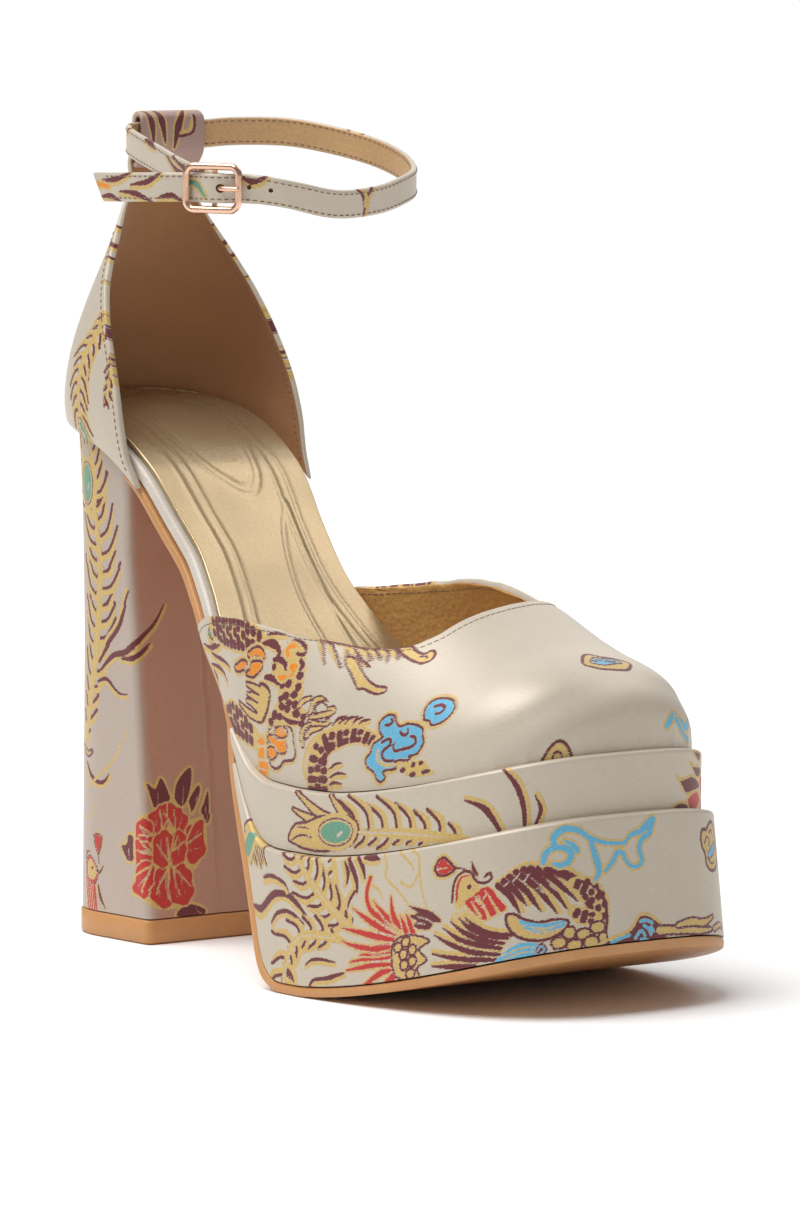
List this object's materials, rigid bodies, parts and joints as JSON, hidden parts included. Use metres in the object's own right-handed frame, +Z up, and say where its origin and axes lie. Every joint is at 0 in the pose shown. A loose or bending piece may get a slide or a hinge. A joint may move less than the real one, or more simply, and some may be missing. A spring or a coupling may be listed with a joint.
{
  "type": "platform pump with ankle strap",
  "caption": "Right-foot double-platform pump in champagne figured brocade, cut away at the waist, with a tall block heel, square toe, gold sock and a buckled ankle strap.",
  "frame": {"origin": "on the floor under the middle of the shoe's bounding box", "axes": "+X from heel to toe, +Y to the wearer's left (the inner side), +Z up"},
  "size_m": [0.2072, 0.0978, 0.2074],
  "materials": {
    "brocade": "champagne satin ground with woven gold, maroon, red, blue, green and orange figures",
    "satin": "plain champagne satin",
    "gold_leather": "soft metallic gold leather",
    "tan_sole": "smooth tan sole, half matt",
    "rose_gold": "polished rose gold plating"
  },
  "bodies": {
    "root": {"outsole": "tan_sole", "platform_lower_tier": "brocade", "platform_upper_tier": "brocade", "insole_board": "satin", "sock": "gold_leather", "vamp": "brocade", "counter": "brocade", "heel_block": "brocade", "top_lift": "tan_sole", "ankle_strap": "brocade", "buckle_frame": "rose_gold", "buckle_prong": "rose_gold"}
  },
  "joints": []
}
